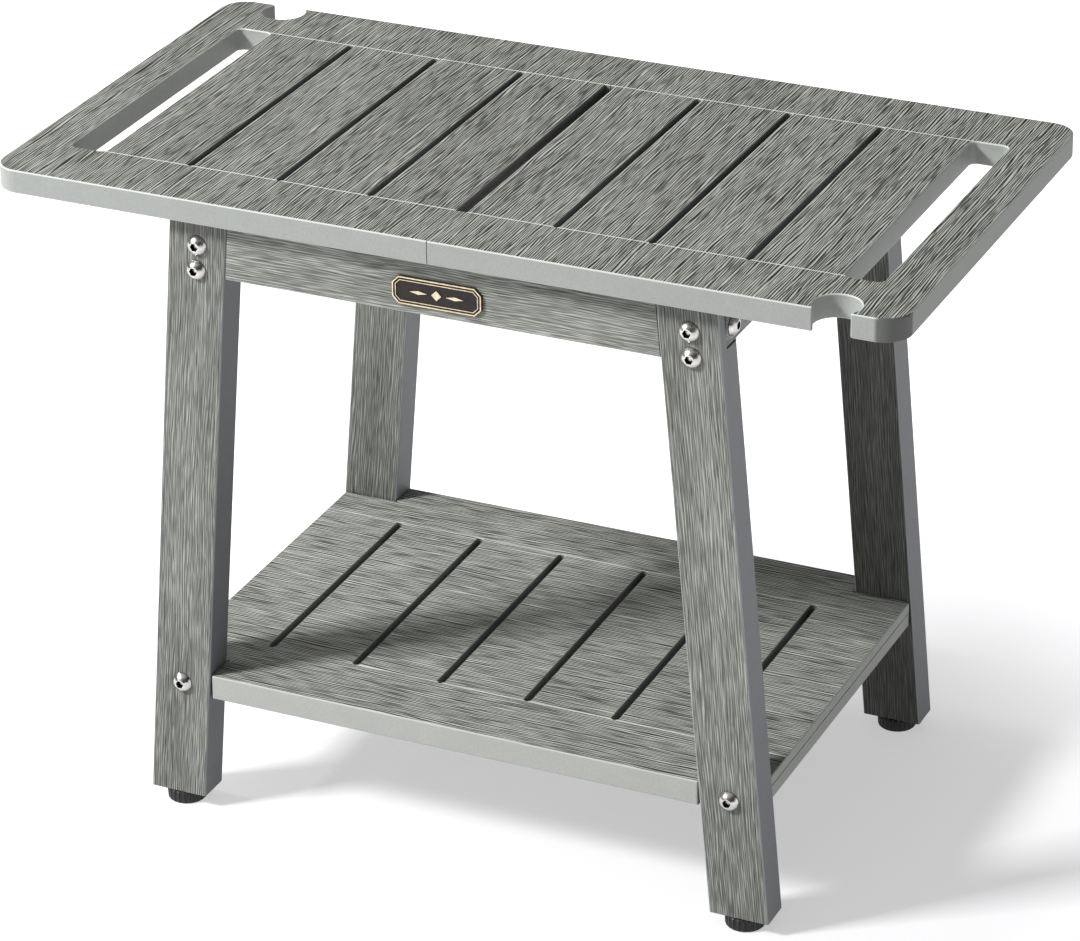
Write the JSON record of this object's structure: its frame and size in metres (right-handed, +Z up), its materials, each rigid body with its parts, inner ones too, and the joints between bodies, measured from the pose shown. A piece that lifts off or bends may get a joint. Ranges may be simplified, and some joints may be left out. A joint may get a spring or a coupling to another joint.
{
  "type": "bath transfer bench",
  "caption": "Grey wood-grained bath bench with a slotted seat, hand slots at both ends, splayed legs, a slatted lower shelf and levelling feet.",
  "frame": {"origin": "on the floor under the middle of the seat", "axes": "+X to the right along the seat, +Y to the back, +Z up"},
  "size_m": [0.62, 0.332, 0.454],
  "materials": {
    "board": "wood-grained grey lumber board, grain pressed in",
    "badge": "dark bronze with pale gold rims",
    "stainless": "polished stainless steel",
    "zinc": "zinc plated steel",
    "brass": "turned brass",
    "black_plastic": "moulded black plastic"
  },
  "bodies": {
    "root": {"top_panel_right": "board", "top_panel_left": "board", "leg_front_right": "board", "leg_front_left": "board", "leg_back_left": "board", "leg_back_right": "board", "apron_front": "board", "apron_back": "board", "seat_rail_front": "board", "seat_rail_back": "board", "side_rail_right": "board", "side_rail_left": "board", "shelf": "board", "badge_plate": "badge", "leg_bolts": "stainless", "shelf_bolts": "stainless", "side_rail_bolts": "stainless", "apron_screws": "zinc", "panel_screws": "zinc", "seat_rail_inserts": "brass", "shelf_inserts": "brass", "leg_inserts": "brass", "foot_inserts": "brass"},
    "stud_front_left": {"foot_stud_front_left": "zinc"},
    "knob_front_left": {"foot_knob_front_left": "black_plastic"},
    "stud_front_right": {"foot_stud_front_right": "zinc"},
    "knob_front_right": {"foot_knob_front_right": "black_plastic"},
    "stud_back_left": {"foot_stud_back_left": "zinc"},
    "knob_back_left": {"foot_knob_back_left": "black_plastic"},
    "stud_back_right": {"foot_stud_back_right": "zinc"},
    "knob_back_right": {"foot_knob_back_right": "black_plastic"}
  },
  "joints": [
    {"name": "foot_lift_front_left", "type": "slide", "parent": "root", "child": "stud_front_left", "axis": [0, 0, -1], "range_m": [0, 0.0101]},
    {"name": "foot_turn_front_left", "type": "hinge", "parent": "stud_front_left", "child": "knob_front_left", "pos_m": [-0.2043, -0.1405, 0], "axis": [0, 0, -1], "range_deg": [0, 2880]},
    {"name": "foot_lift_front_right", "type": "slide", "parent": "root", "child": "stud_front_right", "axis": [0, 0, -1], "range_m": [0, 0.0101]},
    {"name": "foot_turn_front_right", "type": "hinge", "parent": "stud_front_right", "child": "knob_front_right", "pos_m": [0.2043, -0.1405, 0], "axis": [0, 0, -1], "range_deg": [0, 2880]},
    {"name": "foot_lift_back_left", "type": "slide", "parent": "root", "child": "stud_back_left", "axis": [0, 0, -1], "range_m": [0, 0.0101]},
    {"name": "foot_turn_back_left", "type": "hinge", "parent": "stud_back_left", "child": "knob_back_left", "pos_m": [-0.2043, 0.1405, 0], "axis": [0, 0, -1], "range_deg": [0, 2880]},
    {"name": "foot_lift_back_right", "type": "slide", "parent": "root", "child": "stud_back_right", "axis": [0, 0, -1], "range_m": [0, 0.0101]},
    {"name": "foot_turn_back_right", "type": "hinge", "parent": "stud_back_right", "child": "knob_back_right", "pos_m": [0.2043, 0.1405, 0], "axis": [0, 0, -1], "range_deg": [0, 2880]}
  ],
  "couplings": [
    {"joint": "foot_lift_front_left", "follows": "foot_turn_front_left", "m_per_rad": 0.00019894},
    {"joint": "foot_lift_front_right", "follows": "foot_turn_front_right", "m_per_rad": 0.00019894},
    {"joint": "foot_lift_back_left", "follows": "foot_turn_back_left", "m_per_rad": 0.00019894},
    {"joint": "foot_lift_back_right", "follows": "foot_turn_back_right", "m_per_rad": 0.00019894}
  ]
}
